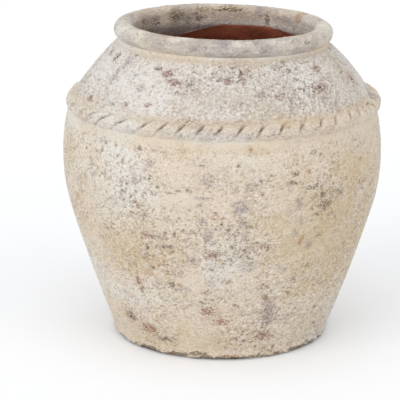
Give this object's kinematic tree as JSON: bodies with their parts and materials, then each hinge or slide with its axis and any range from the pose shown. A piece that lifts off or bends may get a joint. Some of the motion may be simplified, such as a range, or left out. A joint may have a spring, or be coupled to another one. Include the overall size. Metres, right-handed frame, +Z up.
{
  "type": "clay storage jar",
  "caption": "Squat wide-mouthed clay jar with a rolled rim, a short neck, a rope moulding round the shoulder and a flat foot.",
  "frame": {"origin": "where the jar's axis meets the ground it stands on", "axes": "+Z up along the jar's axis, X and Y level and alike, because the jar is turned round its axis"},
  "size_m": [0.3048, 0.3048, 0.3048],
  "materials": {
    "floor_clay": "bare fired clay with worn limewash at the edge",
    "limewashed_clay": "matt limewash over coarse fired clay",
    "crusted_clay": "rough limewash crust over coarse fired clay",
    "rim_clay": "matt limewash, rubbed thin",
    "rope_clay": "matt limewash with dirt in the gashes"
  },
  "bodies": {
    "root": {"floor_disc": "floor_clay", "foot_course": "limewashed_clay", "belly_course": "limewashed_clay", "upper_belly_course": "limewashed_clay", "shoulder_course": "crusted_clay", "neck_collar": "crusted_clay", "rim_roll": "rim_clay", "rope_moulding": "rope_clay"}
  },
  "joints": []
}
